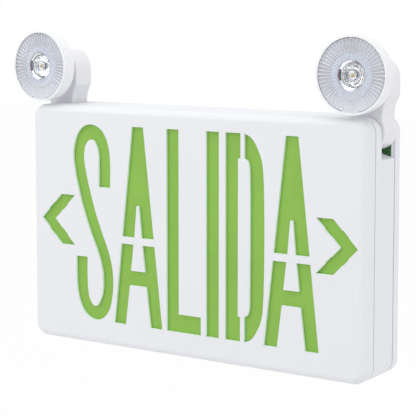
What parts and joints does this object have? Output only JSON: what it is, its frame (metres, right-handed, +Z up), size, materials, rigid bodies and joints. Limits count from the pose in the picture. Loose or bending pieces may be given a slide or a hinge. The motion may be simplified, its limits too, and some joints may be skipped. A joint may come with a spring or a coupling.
{
  "type": "emergency exit light",
  "caption": "Flat edge-lit exit sign housing with cut-through direction arrows and two round lamp heads on swinging arms at its top corners.",
  "frame": {"origin": "centre of the cable entry in the back face, the middle of the face that lies on the wall", "axes": "+X to the reader's right, +Y into the wall, +Z up; the sign faces -Y"},
  "size_m": [0.33, 0.0556, 0.2424],
  "materials": {
    "housing_white": "fine moulded texture",
    "face_white": "fine moulded texture",
    "arm_white": "smooth moulded",
    "legend_green": "translucent satin",
    "clear_guide": "clear",
    "strip_board": "matt",
    "circuit_green": "solder mask",
    "button_grey": "smooth",
    "pilot_red": "clear tinted",
    "pin_steel": "ground",
    "clear_lens": "clear fluted polycarbonate",
    "bright_cup": "metallised",
    "board_aluminium": "satin",
    "emitter_yellow": "phosphor"
  },
  "bodies": {
    "housing": {"back_plate": "housing_white", "control_board": "circuit_green", "main_housing": "housing_white", "battery_box": "housing_white", "light_guide": "clear_guide", "upper_light_strip": "strip_board", "lower_light_strip": "strip_board", "legend_panel": "legend_green", "face_plate": "face_white", "pilot_lens": "pilot_red", "right_arm_pin": "pin_steel", "left_arm_pin": "pin_steel"},
    "test_button": {"test_button": "button_grey"},
    "right_arm": {"right_lamp_arm": "arm_white"},
    "right_swivel": {"right_lamp_swivel": "arm_white", "right_knuckle_pin": "pin_steel"},
    "right_head": {"right_lamp_shell": "arm_white", "right_lamp_lens": "clear_lens", "right_reflector": "bright_cup", "right_emitter_board": "board_aluminium", "right_emitter": "emitter_yellow"},
    "left_arm": {"left_lamp_arm": "arm_white"},
    "left_swivel": {"left_lamp_swivel": "arm_white", "left_knuckle_pin": "pin_steel"},
    "left_head": {"left_lamp_shell": "arm_white", "left_lamp_lens": "clear_lens", "left_reflector": "bright_cup", "left_emitter_board": "board_aluminium", "left_emitter": "emitter_yellow"}
  },
  "joints": [
    {"name": "test_button_press", "type": "slide", "parent": "housing", "child": "test_button", "axis": [0, 0, 1], "range_m": [0, 0.002], "stiffness_N_per_m": 250},
    {"name": "right_arm_swing", "type": "hinge", "parent": "housing", "child": "right_arm", "pos_m": [0.137, -0.01905, 0.0828], "axis": [0, 1, 0], "range_deg": [0, 90]},
    {"name": "right_head_turn", "type": "hinge", "parent": "right_arm", "child": "right_swivel", "pos_m": [0.137, -0.0287, 0.1225], "axis": [0, 1, 0], "range_deg": [-175, 175]},
    {"name": "right_head_tilt", "type": "hinge", "parent": "right_swivel", "child": "right_head", "pos_m": [0.137, -0.0344, 0.1225], "axis": [0, 0, 1], "range_deg": [-24, 24]},
    {"name": "left_arm_swing", "type": "hinge", "parent": "housing", "child": "left_arm", "pos_m": [-0.137, -0.01905, 0.0828], "axis": [0, -1, 0], "range_deg": [0, 90]},
    {"name": "left_head_turn", "type": "hinge", "parent": "left_arm", "child": "left_swivel", "pos_m": [-0.137, -0.0287, 0.1225], "axis": [0, -1, 0], "range_deg": [-175, 175]},
    {"name": "left_head_tilt", "type": "hinge", "parent": "left_swivel", "child": "left_head", "pos_m": [-0.137, -0.0344, 0.1225], "axis": [0, 0, 1], "range_deg": [-20.4, 27.6]}
  ]
}
